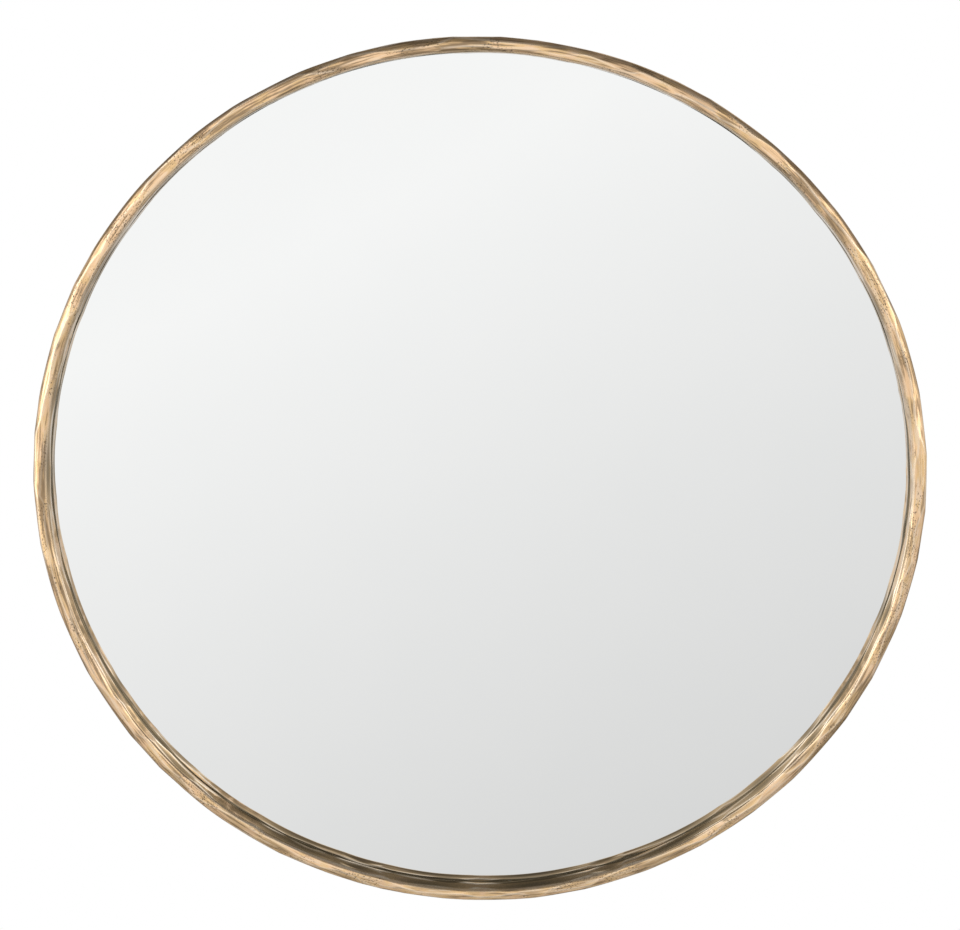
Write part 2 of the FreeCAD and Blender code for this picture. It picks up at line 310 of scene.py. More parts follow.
@dataclass(frozen=True)
class AntiqueGold(Finish):
    """Rubbed gold leaf over a brown patina under clear lacquer, as on the cast ring.

    A pair of numbers says where a mark starts and where it is full, or what a value is at its two ends.
    """

    name: str = "antique_gold"
    rubbed: Colour = (0.96, 0.81, 0.63)
    rosy: Colour = (0.92, 0.61, 0.35)
    straw: Colour = (0.87, 0.58, 0.285)
    toned: Colour = (0.36, 0.235, 0.12)
    patina: Colour = (0.21, 0.145, 0.09)
    glaze: Colour = (0.13, 0.105, 0.065)
    bare: Colour = (0.82, 0.78, 0.69)
    pits: Colour = (0.10, 0.065, 0.036)
    edge_tint: Colour = (0.72, 0.69, 0.64)
    hollow_patina: float = 0.5
    # How much darker brown the outward-facing outside is made, in full and in its lighter patches.
    outside_darkening: float = 0.85
    patchy_darkening: float = 0.6
    inside_tone: float = 0.9
    relief: float = 0.06 * MM
    lacquer: float = 0.8
    coat_roughness: float = 0.10
    coat_ior: float = 1.5
    dash_stretch: float = 0.07
    pit_stretch: float = 0.5
    blotches: Range = (0.34, 0.64)
    brown_dashes: Range = (0.46, 0.86)
    wall_dashes: Range = (0.95, 0.3)
    pale_dashes: Range = (0.38, 0.10)
    pale_share: float = 0.4
    worn_blotches: Range = (1.0, 0.7)
    leaf_tones: Range = (-0.12, 0.12)
    leaf_clouds: Range = (0.42, 0.58)
    shade_drift: float = 0.7
    thin_leaf: Range = (0.40, 0.15)
    thin_share: float = 0.7
    glaze_start: Range = (0.42, 0.58)
    glaze_hollow: Range = (0.5, 1.0)
    glaze_depth: Range = (0.52, 0.80)
    stain_tones: Range = (0.45, 1.0)
    front_pits: Range = (0.1, 0.9)
    dash_roughness: Range = (0.22, 0.30)
    patina_roughness: float = 0.16
    wall_polish: float = 0.06
    dash_relief: float = 0.3
    front_relief: Range = (0.5, 1.0)

    def lay_out(self, sheet: NodeSheet) -> None:
        """Build the gold with worn ridges, brown hollows, dashes along the ring and crusts of dark pits.

        Args:
            sheet: The material's node sheet. The mesh has to store ridge, hollow, tone, outside and inside,
                and across where the marks are to be long.
        """
        place = sheet.place()
        dashed = self.drawn_out(sheet, place, self.dash_stretch)
        drawn = self.drawn_out(sheet, place, self.pit_stretch)
        streaks = sheet.effect(streak_group(), {"Place": dashed, "Scale": 520.0, "Contrast": 1.0})
        pits = sheet.specks(drawn, spots=680.0, size=0.40, patches=52.0, start=0.46)
        outside, inside, ridge = map(sheet.stored, ("outside", "inside", "ridge"))
        tone, hollow = map(sheet.stored, ("tone", "hollow"))
        front = sheet.minus(1.0, sheet.most(outside, inside))
        blotch = sheet.ease(sheet.noise(place, 26.0), *self.blotches)
        brown_dashes = sheet.ease(streaks["Streaks"], *self.brown_dashes)
        brown_dashes = sheet.times(brown_dashes, sheet.span(inside, *self.wall_dashes))
        pale_dashes = sheet.times(sheet.ease(streaks["Streaks"], *self.pale_dashes), self.pale_share, front)
        worn = sheet.most(sheet.times(ridge, sheet.span(blotch, *self.worn_blotches)), pale_dashes)
        gold = sheet.blend(brown_dashes, self.mottled(sheet, place, tone), self.toned)
        drift = sheet.times(sheet.minus(sheet.noise(place, 95.0, 4.0), 0.5), self.shade_drift)
        shade = sheet.plus(tone, drift)
        thin = sheet.times(sheet.ease(shade, *self.thin_leaf), inside, self.thin_share)
        gold = sheet.blend(thin, gold, self.bare)
        glazed = sheet.times(sheet.ease(shade, *self.glaze_start), sheet.span(hollow, *self.glaze_hollow))
        glazed = sheet.times(glazed, self.inside_tone, inside)
        glaze = sheet.blend(sheet.ease(shade, *self.glaze_depth), self.toned, self.glaze)
        gold = sheet.blend(glazed, gold, glaze)
        stain = sheet.times(hollow, sheet.ease(tone, *self.stain_tones), self.hollow_patina, front)
        # The outward-facing outside is made darker brown, less in some patches.
        outer = sheet.span(blotch, self.patchy_darkening * self.outside_darkening, self.outside_darkening)
        brown = sheet.most(stain, sheet.times(outside, outer))
        aged = sheet.blend(worn, sheet.blend(brown, gold, self.patina), self.rubbed)
        rough = sheet.span(streaks["Streaks"], *self.dash_roughness)
        rough = sheet.plus(rough, sheet.span(brown, 0.0, self.patina_roughness))
        clear = sheet.times(inside, sheet.minus(1.0, glazed))
        pitted = sheet.times(pits, sheet.span(front, *self.front_pits))
        looks = {
            "Metallic": 1.0,
            "Specular Tint": (*self.edge_tint, 1.0),
            "Coat Roughness": self.coat_roughness,
            "Coat IOR": self.coat_ior,
            "Base Color": sheet.blend(pitted, aged, self.pits),
            "Roughness": sheet.minus(rough, sheet.span(inside, 0.0, self.wall_polish)),
            "Coat Weight": sheet.times(sheet.plus(front, clear), self.lacquer),
        }
        sheet.shade(looks)
        marks = sheet.minus(sheet.times(streaks["Height"], self.dash_relief), pits)
        sheet.roughen(sheet.times(marks, sheet.ease(front, *self.front_relief)), self.relief)

    def mottled(self, sheet: NodeSheet, place: Socket, tone: Socket) -> Socket:
        """Blend the two shades of leaf by the facet's tone and in soft clouds."""
        cloud = sheet.plus(sheet.noise(place, 70.0, 2.0), sheet.span(tone, *self.leaf_tones))
        return sheet.blend(sheet.ease(cloud, *self.leaf_clouds), self.rosy, self.straw)

    def drawn_out(self, sheet: NodeSheet, place: Socket, share: float) -> Socket:
        """Make coordinates in which marks come out long along the ring.

        Args:
            sheet: The material's node sheet.
            place: A point's place on the piece.
            share: How wide the marks are for their length.

        Returns:
            The coordinates' socket.
        """
        x, _, z = sheet.parts(place)
        lengths = {0: sheet.stored("across"), 1: sheet.times(x, share), 2: sheet.times(z, share)}
        return sheet.add("CombineXYZ", lengths).outputs[0]


@dataclass(frozen=True)
class SilveredGlass(Finish):
    """A clear flat mirror with the faintest haze."""

    name: str = "silvered_glass"
    silver: Colour = (0.92, 0.925, 0.92)
    dulled: Colour = (0.90, 0.91, 0.905)
    roughness: Range = (0.0, 0.012)

    def lay_out(self, sheet: NodeSheet) -> None:
        """Build the mirror.

        Args:
            sheet: The material's node sheet.
        """
        haze = sheet.noise(sheet.place(), 9.0, 5.0)
        colour = sheet.blend(haze, self.silver, self.dulled)
        sheet.shade({"Metallic": 1.0, "Base Color": colour, "Roughness": sheet.span(haze, *self.roughness)})


@dataclass(frozen=True)
class BackingPaint(Finish):
    """The grey paint that seals the silver at the back of the glass."""

    name: str = "backing_paint"
    grey: Colour = (0.085, 0.088, 0.085)
    thin: Colour = (0.13, 0.125, 0.115)
    clouds: Range = (0.35, 0.65)
    roughness: Range = (0.55, 0.7)

    def lay_out(self, sheet: NodeSheet) -> None:
        """Build the paint with its cloudy curtain marks.

        Args:
            sheet: The material's node sheet.
        """
        cloud = sheet.ease(sheet.noise(sheet.place(), 24.0, 5.0), *self.clouds)
        colour = sheet.blend(cloud, self.grey, self.thin)
        sheet.shade({"Metallic": 0.0, "Base Color": colour, "Roughness": sheet.span(cloud, *self.roughness)})


@dataclass(frozen=True)
class GroundEdge(Finish):
    """The pale green ground edge of the glass."""

    name: str = "ground_glass_edge"
    pale: Colour = (0.90, 0.94, 0.90)
    green: Colour = (0.66, 0.78, 0.70)
    wheel_marks: Range = (0.3, 0.7)
    roughness: Range = (0.2, 0.5)

    def lay_out(self, sheet: NodeSheet) -> None:
        """Build the ground edge with its wheel marks.

        Args:
            sheet: The material's node sheet.
        """
        marks = sheet.noise(sheet.place(), 300.0)
        colour = sheet.blend(sheet.ease(marks, *self.wheel_marks), self.pale, self.green)
        sheet.shade({"Metallic": 0.0, "Base Color": colour, "Roughness": sheet.span(marks, *self.roughness)})


@dataclass(frozen=True)
class ZincSteel(Finish):
    """Bright zinc plating with faint rolling marks and dull spots."""

    name: str = "zinc_steel"
    bright: Colour = (0.66, 0.655, 0.63)
    dull: Colour = (0.40, 0.395, 0.375)
    spots: Colour = (0.24, 0.215, 0.18)
    relief: float = 0.04 * MM
    mark_stretch: float = 0.08
    clouds: Range = (0.32, 0.70)
    rolling: Range = (0.4, 0.9)
    roughness: Range = (0.24, 0.46)

    def lay_out(self, sheet: NodeSheet) -> None:
        """Build the plated steel, with marks that run up and down the piece.

        Args:
            sheet: The material's node sheet.
        """
        place = sheet.place()
        drawn = sheet.upright(place, self.mark_stretch)
        streaks = sheet.effect(streak_group(), {"Place": drawn, "Scale": 1400.0, "Contrast": 0.5})
        specks = sheet.specks(place, spots=1100.0, size=0.32, patches=160.0, start=0.58)
        cloud = sheet.ease(sheet.noise(place, 210.0, 4.0), *self.clouds)
        dulled = sheet.times(cloud, sheet.span(streaks["Streaks"], *self.rolling))
        colour = sheet.blend(specks, sheet.blend(dulled, self.bright, self.dull), self.spots)
        sheet.shade({"Metallic": 1.0, "Base Color": colour, "Roughness": sheet.span(dulled, *self.roughness)})
        sheet.roughen(streaks["Height"], self.relief)


@dataclass(frozen=True)
class PaintedBoard(Finish):
    """Rolled black paint over fibreboard, brown where the edge is worn, with a little dust."""

    name: str = "painted_fibreboard"
    paint: Colour = (0.030, 0.029, 0.028)
    thin_paint: Colour = (0.060, 0.055, 0.049)
    fibre: Colour = (0.20, 0.125, 0.07)
    dust: Colour = (0.26, 0.25, 0.235)
    relief: float = 0.22 * MM
    fine_relief: float = 0.35
    lane_stretch: float = 0.06
    dust_share: float = 0.55
    thin_patches: Range = (0.38, 0.70)
    lanes: Range = (0.25, 1.0)
    edge_start: Range = (0.97, 0.6)
    edge_wear: Range = (0.4, 1.0)
    roughness: Range = (0.50, 0.68)

    def lay_out(self, sheet: NodeSheet) -> None:
        """Build the paint with roller stipple, thin patches, a brown edge and dust specks.

        Args:
            sheet: The material's node sheet.
        """
        place = sheet.place()
        stipple, fine = sheet.noise(place, 620.0), sheet.noise(place, 1900.0, 2.0)
        thin = sheet.ease(sheet.noise(place, 14.0, 5.0), *self.thin_patches)
        drawn = sheet.upright(place, self.lane_stretch)
        lanes = sheet.effect(streak_group(), {"Place": drawn, "Scale": 60.0, "Contrast": 0.7})["Streaks"]
        specks = sheet.specks(place, spots=240.0, size=0.14, patches=22.0, start=0.50)
        facing = sheet.math("ABSOLUTE", sheet.parts(sheet.add("TexCoord").outputs["Normal"])[1])
        edge = sheet.times(sheet.ease(facing, *self.edge_start), sheet.span(thin, *self.edge_wear))
        rolled = sheet.times(thin, sheet.span(lanes, *self.lanes))
        coat = sheet.blend(rolled, self.paint, self.thin_paint)
        colour = sheet.blend(sheet.times(specks, self.dust_share), coat, self.dust)
        colour = sheet.blend(edge, colour, self.fibre)
        sheet.shade({"Metallic": 0.0, "Base Color": colour, "Roughness": sheet.span(rolled, *self.roughness)})
        sheet.roughen(sheet.plus(stipple, sheet.times(fine, self.fine_relief)), self.relief)


@dataclass(frozen=True)
class FoamTape(Finish):
    """Off-white closed-cell foam with open pores on its cut sides."""

    name: str = "foam_tape"
    foam: Colour = (0.80, 0.79, 0.75)
    pore: Colour = (0.52, 0.51, 0.48)
    relief: float = 0.1 * MM

    def lay_out(self, sheet: NodeSheet) -> None:
        """Build the foam with its pores.

        Args:
            sheet: The material's node sheet.
        """
        pores = sheet.specks(sheet.place(), spots=1600.0, size=0.34, patches=90.0, start=0.3)
        sheet.shade({"Roughness": 0.85, "Base Color": sheet.blend(pores, self.foam, self.pore)})
        sheet.roughen(sheet.minus(1.0, pores), self.relief)


@dataclass(frozen=True)
class StudioFloor(Finish):
    """A pale matt floor that fades into the white round it."""

    name: str = "studio_floor"
    pale: Colour = (0.88, 0.88, 0.87)
    grain: float = 0.97
    full: float = 1.0
    gone: float = 1.6

    def lay_out(self, sheet: NodeSheet) -> None:
        """Build the floor, opaque in the middle and gone at its rim.

        Args:
            sheet: The material's node sheet.
        """
        place = sheet.place()
        away = sheet.add("VectorMath", {0: place}, operation="LENGTH").outputs["Value"]
        darker = tuple(self.grain * part for part in self.pale)
        colour = sheet.blend(sheet.noise(place, 40.0, 4.0), self.pale, darker)
        sheet.shade({"Roughness": 0.9, "Base Color": colour, "Alpha": sheet.ease(away, self.gone, self.full)})


def mesh_piece(name: str, points: Array, faces: Sequence[Sequence[int]], smooth: bool = True) -> Piece:
    """Make a mesh object and link it to the scene.

    Args:
        name: The piece's name.
        points: One row of x, y and z for each point, in metres.
        faces: The point numbers round each face.
        smooth: Whether light runs smoothly across the faces.

    Returns:
        The new object.
    """
    mesh = bpy.data.meshes.new(name)
    mesh.from_pydata(points.tolist(), [], faces)
    mesh.update()
    mesh.polygons.foreach_set("use_smooth", [smooth] * len(mesh.polygons))
    piece = bpy.data.objects.new(name, mesh)
    bpy.context.scene.collection.objects.link(piece)
    return piece


def store_value(piece: Piece, name: str, value: Values) -> None:
    """Store a value at each of a mesh's points, for its finish to read."""
    spread = np.broadcast_to(np.ravel(value), len(piece.data.vertices)).astype(np.float32)
    piece.data.attributes.new(name, "FLOAT", "POINT").data.foreach_set("value", spread)


def ring_faces(rows: int, columns: int, closed: bool) -> Array:
    """Number the four-sided faces of a grid that closes on itself along its columns.

    Args:
        rows: Points across.
        columns: Points along, where the last joins the first.
        closed: Whether the last row joins the first as well.

    Returns:
        One row of four point numbers for each face.
    """
    grid = np.arange(rows * columns).reshape(rows, columns)
    grid = np.pad(grid, ((0, int(closed)), (0, 1)), mode="wrap")
    corners = grid[:-1, :-1], grid[:-1, 1:], grid[1:, 1:], grid[1:, :-1]
    return np.stack(corners, axis=-1).reshape(-1, 4)


def even_turns(count: int) -> Array:
    """Divide a full turn into even steps."""
    return np.linspace(0.0, 2 * np.pi, count, endpoint=False)


def swept(radius: Array, depth: Array, count: int) -> Array:
    """Carry a section, by the radius and depth of its rows, round the mirror's middle in count steps."""
    x, z = turned(radius, 0.0, even_turns(count))
    return np.stack(np.broadcast_arrays(x, depth, z), axis=-1).reshape(-1, 3)


def turned(x: Values, z: Values, angle: Values) -> tuple[Values, Values]:
    """Turn places about the mirror's axis by an angle."""
    cos, sin = np.cos(angle), np.sin(angle)
    return x * cos - z * sin, x * sin + z * cos


def soft_noise(random: np.random.Generator, shape: tuple[int, int], knots: Knots) -> Array:
    """Draw a smooth random field that wraps along its columns.

    Args:
        random: The seeded source of numbers.
        shape: Rows and columns of the field.
        knots: How many free values it has across and along.

    Returns:
        The field, with values from -1 to 1.
    """
    values = random.uniform(-1.0, 1.0, (knots[0] + 1, knots[1]))
    row = np.linspace(0.0, knots[0], shape[0], endpoint=False)
    column = np.linspace(0.0, knots[1], shape[1], endpoint=False)
    top, left = row.astype(int), column.astype(int)
    down = (0.5 - 0.5 * np.cos(np.pi * (row - top)))[:, None]
    right = (0.5 - 0.5 * np.cos(np.pi * (column - left)))[None, :]
    beside = (left + 1) % knots[1]
    upper = values[top][:, left] * (1 - right) + values[top][:, beside] * right
    lower = values[top + 1][:, left] * (1 - right) + values[top + 1][:, beside] * right
    return upper * (1 - down) + lower * down


def thickened(lines: Array, rows: int) -> Array:
    """Widen marks by a number of rows to each side."""
    return np.max([np.roll(lines, step, axis=0) for step in range(-rows, rows + 1)], axis=0)


@dataclass(frozen=True)
class Gouge:
    """One long hammered facet, by its middle on the unrolled ring."""

    along: float
    across: float
    half_length: float
    half_width: float
    rise: float
    depth: float
    slant: float
    tip: float
    tone: float

    def height(self, run: Array, offset: Array) -> Array:
        """Work out the facet's dished surface.

        Args:
            run: Distance along the ring from the facet's middle.
            offset: Distance across the ring from the facet's middle.

        Returns:
            The height of the dish at each point.
        """
        beside = offset - self.slant * run
        dish = self.rise * ((run / self.half_length) ** 2 + (beside / self.half_width) ** 2)
        return dish + self.tip * beside - self.depth


@dataclass(frozen=True)
class FacetRows:
    """Rows of hammered facets of about the same size, by default those of the inner wall."""

    middles: tuple[float, ...]
    lengths: Range
    half_width: float = 8.8 * MM
    reach: float = 0.44
    rise: float = 0.54 * MM
    tip: float = 0.05
    tones: Range = (0.0, 1.0)
    lean: float = 0.0


@dataclass(frozen=True)
class RimSection:
    """The ring's section, row by row from its rear outer edge over the front to its rear inner edge."""

    points: Array
    across: Array
    worked: int
    nose_start: float
    lip: float

    def outward(self) -> Array:
        """Find the direction that each row faces, as steps outward and backward."""
        step = np.gradient(self.points, axis=0)
        return np.stack([-step[:, 1], step[:, 0]], axis=1) / np.linalg.norm(step, axis=1, keepdims=True)


@dataclass
class HammeredRim:
    """The cast ring, hammered on its outside, its rounded front and its inner wall."""

    outer: float = 457.2 * MM
    inner: float = 442.7 * MM
    rear: float = 0.0
    crest: float = -40.0 * MM
    glass_front: float = -22.0 * MM
    nose_depth: float = 6.0 * MM
    nose_points: int = 600
    outer_squareness: float = 2.3
    inner_squareness: float = 3.0
    lip_turn: float = 0.75
    foot_lean: float = 0.35 * MM
    rear_bevel: float = 0.8 * MM
    across_step: float = 0.5 * MM
    hidden_step: float = 2.0 * MM
    points_around: int = 1440
    outside_margins: Range = (4.0 * MM, 2.0 * MM)
    outside_pitch: float = 7.5 * MM
    front_margins: Range = (2.5 * MM, 3.0 * MM)
    front_rows: int = 3
    wall_row: float = 0.36
    row_scatter: float = 0.25
    facet_slant: float = 0.03
    depth_scatter: float = 0.25
    facet_window: float = 2.4
    uncut: float = 3.0 * MM
    climb_start: float = 0.2
    ridge_softness: float = 0.012 * MM
    ridge_turn: float = 0.10
    wall_ridge_rows: int = 2
    front_ridge_rows: int = 1
    front_wear: float = 0.55
    lip_wear: float = 0.6
    lip_swing: float = 0.3
    lip_below: float = 0.7 * MM
    lip_width: float = 1.1 * MM
    lip_knots: Knots = (1, 110)
    weave: float = 0.9 * MM
    weave_knots: Knots = (9, 70)
    stagger: float = 7.0 * MM
    stagger_knots: Knots = (14, 90)
    # How much darker the facets towards the bottom of the ring are toned.
    lower_darkening: float = 0.28
    wander: float = 0.35 * MM
    wander_knots: Knots = (1, 26)
    # Painted shade together with patina in the corner where the inner wall meets the glass: how far up the
    # wall it reaches, how much that reach swings, its soft edge and the knots of the swing.
    corner_shade_and_patina_reach: float = 3.6 * MM
    corner_shade_and_patina_swing: float = 0.8
    corner_shade_and_patina_edge: float = 0.8 * MM
    corner_shade_and_patina_knots: Knots = (1, 84)
    plain_rear: float = 1.5 * MM
    rear_fade: float = 4.0 * MM
    foot_fade: float = 1.0 * MM
    outside_slope: float = 1.6
    inside_slope: float = 2.4
    seed: int = 11
    finish: AntiqueGold = field(default_factory=AntiqueGold)

    def __post_init__(self) -> None:
        """Start the seeded source of numbers."""
        self.random = np.random.default_rng(self.seed)

    @cached_property
    def section(self) -> RimSection:
        """Draw the ring's section.

        Returns:
            The section with evenly spaced rows where the ring is hammered.
        """
        turn = np.linspace(0.0, np.pi, self.nose_points)
        power = 2.0 / np.where(turn < np.pi / 2, self.outer_squareness, self.inner_squareness)
        half = (self.outer - self.inner) / 2
        shoulder = self.crest + self.nose_depth
        nose_radius = self.outer - half + half * np.sign(np.cos(turn)) * np.abs(np.cos(turn)) ** power
        nose_front = shoulder - self.nose_depth * np.abs(np.sin(turn)) ** power
        start = [(self.outer - self.rear_bevel, self.rear), (self.outer, self.rear - self.rear_bevel)]
        finish = [
            (self.inner - self.foot_lean, self.glass_front),
            (self.inner, self.rear - self.rear_bevel),
            (self.inner + self.rear_bevel, self.rear),
        ]
        path = np.array(start + list(zip(nose_radius, nose_front)) + finish)
        length = np.concatenate([[0.0], np.cumsum(np.hypot(*np.diff(path, axis=0).T))])
        foot = length[-len(finish)]
        worked = np.linspace(0.0, foot, int(round(foot / self.across_step)) + 1)
        hidden = np.arange(foot + self.hidden_step, length[-2], self.hidden_step)
        across = np.concatenate([worked, hidden, length[-2:]])
        points = np.stack([np.interp(across, length, path[:, axis]) for axis in (0, 1)], axis=1)
        lip = length[len(start) + int(self.lip_turn * turn.size)]
        return RimSection(points, across, worked.size, nose_start=length[len(start)], lip=lip)

    def rows(self) -> list[FacetRows]:
        """Lay out the rows of facets on the outside, the front and the inner wall.

        Returns:
            The rows.
        """
        nose, lip = self.section.nose_start, self.section.lip
        foot = self.section.across[self.section.worked - 1]
        outside = np.arange(self.outside_margins[0], nose - self.outside_margins[1], self.outside_pitch)
        front = np.linspace(nose + self.front_margins[0], lip - self.front_margins[1], self.front_rows)
        below_lip = lip + self.wall_row * (foot - lip)
        shallow = {"half_width": 6.6 * MM, "reach": 0.48, "rise": 0.34 * MM, "tip": 0.02}
        rounded = {"half_width": 5.4 * MM, "reach": 0.46, "rise": 0.55 * MM, "tip": 0.10}
        return [
            FacetRows(tuple(outside), lengths=(36.0 * MM, 84.0 * MM), **shallow),
            FacetRows(tuple(front), lengths=(40.0 * MM, 90.0 * MM), **rounded),
            FacetRows((below_lip,), lengths=(40.0 * MM, 128.0 * MM), tones=(0.4, 1.0), lean=-0.02),
            FacetRows((foot,), lengths=(36.0 * MM, 104.0 * MM), tones=(0.2, 1.0), lean=-0.06),
        ]

    def gouges(self) -> Iterator[Gouge]:
        """Scatter the hammered facets along their rows.

        Returns:
            The facets, one by one.
        """
        girth, random = 2 * np.pi * self.outer, self.random
        for rows in self.rows():
            for row in rows.middles:
                lengths = random.uniform(*rows.lengths, int(girth / np.mean(rows.lengths)))
                lengths *= girth / lengths.sum()
                middles = np.cumsum(lengths) - lengths / 2 + random.uniform(0.0, girth)
                # Facets towards the bottom of the ring get a darker tone.
                darkened_below = self.lower_darkening * np.clip(-np.sin(middles / self.outer), 0.0, 1.0) ** 2
                for middle, length, extra in zip(middles, lengths, darkened_below):
                    yield Gouge(
                        along=middle % girth,
                        across=row + rows.half_width * random.uniform(-self.row_scatter, self.row_scatter),
                        half_length=rows.reach * length,
                        half_width=rows.half_width,
                        rise=rows.rise,
                        depth=rows.rise * random.uniform(-self.depth_scatter, self.depth_scatter),
                        slant=random.uniform(-self.facet_slant, self.facet_slant),
                        tip=rows.lean + random.uniform(-rows.tip, rows.tip),
                        tone=min(1.0, random.uniform(*rows.tones) + extra),
                    )

    def carve(self) -> dict[str, Array]:
        """Cut every facet into the unrolled ring, so that ridges stay where two facets meet.

        Returns:
            The surface's height, how sharply it turns at ridges, each facet's tone and how far up its facet a
            point lies, by the names height, ridge, tone and climb.
        """
        across = self.section.across[: self.section.worked]
        shape = (across.size, self.points_around)
        girth = 2 * np.pi * self.outer
        around = np.linspace(0.0, girth, self.points_around, endpoint=False)
        sideways = across[:, None] + self.weave * soft_noise(self.random, shape, self.weave_knots)
        staggered = self.stagger * soft_noise(np.random.default_rng(self.seed + 1), shape, self.stagger_knots)
        lowest = np.full(shape, self.uncut)
        second = lowest.copy()
        tone, rise = np.zeros(shape), np.ones(shape)
        for gouge in self.gouges():
            run = (around - gouge.along + girth / 2) % girth - girth / 2
            near = np.flatnonzero(np.abs(run) < self.facet_window * gouge.half_length)
            beside = np.flatnonzero(np.abs(across - gouge.across) < self.facet_window * gouge.half_width)
            block = np.ix_(beside, near)
            height = gouge.height(run[near] + staggered[block], sideways[block] - gouge.across)
            lower = height < lowest[block]
            tone[block] = np.where(lower, gouge.tone, tone[block])
            rise[block] = np.where(lower, gouge.rise, rise[block])
            second[block] = np.minimum(second[block], np.maximum(lowest[block], height))
            lowest[block] = np.minimum(lowest[block], height)
        apart = (second - lowest) / self.ridge_softness
        surface = lowest - self.ridge_softness * np.log1p(np.exp(-apart))
        slope = np.gradient(surface, self.across_step, axis=0)
        turn = np.clip(-np.gradient(slope, axis=0) / self.ridge_turn, 0.0, 1.0)
        nearby = [(up, on) for up in range(-2, 3) for on in (-1, 0, 1)]
        tone = np.mean([np.roll(tone, step, axis=(0, 1)) for step in nearby], axis=0)
        climb = np.clip(surface / rise + self.climb_start, 0.0, 1.0)
        return {"height": surface, "ridge": turn, "tone": tone, "climb": climb}

    def wear(self, carved: Mapping[str, Array], strength: Array) -> dict[str, Array]:
        """Say where the finish is worn and toned, and where painted shade together with patina darkens the
        corner at the glass.

        Args:
            carved: What carve found.
            strength: How much of the hammering each row shows.

        Returns:
            The values ridge, hollow, tone, outside, inside and across at every point.
        """
        across, worked = self.section.across, self.section.worked
        one_row, shape = (1, self.points_around), (across.size, self.points_around)
        sideways = self.section.outward()[:, :1]
        outside = np.clip(1.0 + self.outside_slope * (sideways - 1.0), 0.0, 1.0)
        inside = np.clip(1.0 - self.inside_slope * (sideways + 1.0), 0.0, 1.0)
        lip = np.exp(-(((across[:worked, None] - self.section.lip - self.lip_below) / self.lip_width) ** 2))
        patchy = self.lip_swing * (soft_noise(self.random, one_row, self.lip_knots) - 1.0)
        lip = self.lip_wear * lip * (1.0 + patchy)
        wall = inside[:worked] * thickened(carved["ridge"], self.wall_ridge_rows)
        front = (1.0 - inside[:worked]) * self.front_wear * thickened(carved["ridge"], self.front_ridge_rows)
        # Painted shade together with patina: a band of uneven reach at the wall's foot by the glass gets the
        # full glaze tone, counts as hollow and loses its worn ridges.
        shade_and_patina_reach = soft_noise(np.random.default_rng(self.seed + 2), one_row, self.corner_shade_and_patina_knots)
        shade_and_patina_reach = self.corner_shade_and_patina_reach * (1.0 + self.corner_shade_and_patina_swing * shade_and_patina_reach)
        corner_shade_and_patina = np.clip((across[:worked, None] - across[worked - 1] + shade_and_patina_reach) / self.corner_shade_and_patina_edge, 0.0, 1.0)
        ridge, hollow, tone = np.zeros(shape), np.full(shape, 0.5), np.full(shape, 0.5)
        ridge[:worked] = np.maximum((wall + front) * strength, lip) * (1.0 - corner_shade_and_patina)
        hollow[:worked] = np.maximum(1.0 - carved["climb"], corner_shade_and_patina)
        tone[:worked] = np.maximum(carved["tone"], corner_shade_and_patina)
        along = {"outside": outside, "inside": inside, "across": across}
        by_row = {name: np.repeat(value, self.points_around) for name, value in along.items()}
        return {"ridge": ridge, "hollow": hollow, "tone": tone, **by_row}

    def build(self) -> Piece:
        """Make the ring's mesh, and store on it what its finish reads.

        Returns:
            The ring.
        """
        points, across, worked = self.section.points, self.section.across, self.section.worked
        carved = self.carve()
        fade_in = np.clip((across[:worked] - self.plain_rear) / self.rear_fade, 0.0, 1.0)
        fade_out = np.clip((across[worked - 1] - across[:worked]) / self.foot_fade, 0.0, 1.0)
        strength = (fade_in * fade_out)[:, None]
        lift = np.zeros((across.size, self.points_around))
        lift[:worked] = (carved["height"] - carved["height"].mean()) * strength
        outward = self.section.outward()
        sway = self.wander * soft_noise(self.random, (1, self.points_around), self.wander_knots)
        radius = points[:, :1] + lift * outward[:, :1]
        radius[:worked] += sway * strength
        place = swept(radius, points[:, 1:] + lift * outward[:, 1:], self.points_around)
        piece = mesh_piece("hammered_rim", place, ring_faces(*lift.shape, closed=True).tolist())
        for name, value in self.wear(carved, strength).items():
            store_value(piece, name, value)
        return piece

    def make(self) -> None:
        """Build the ring, dress it and put it in the place of the plain one."""
        piece = self.build()
        self.finish.lay_on(piece)
        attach(piece, Body.MIRROR.value)
        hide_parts("rim")
        LOG.info("%s: %d faces", piece.name, len(piece.data.polygons))


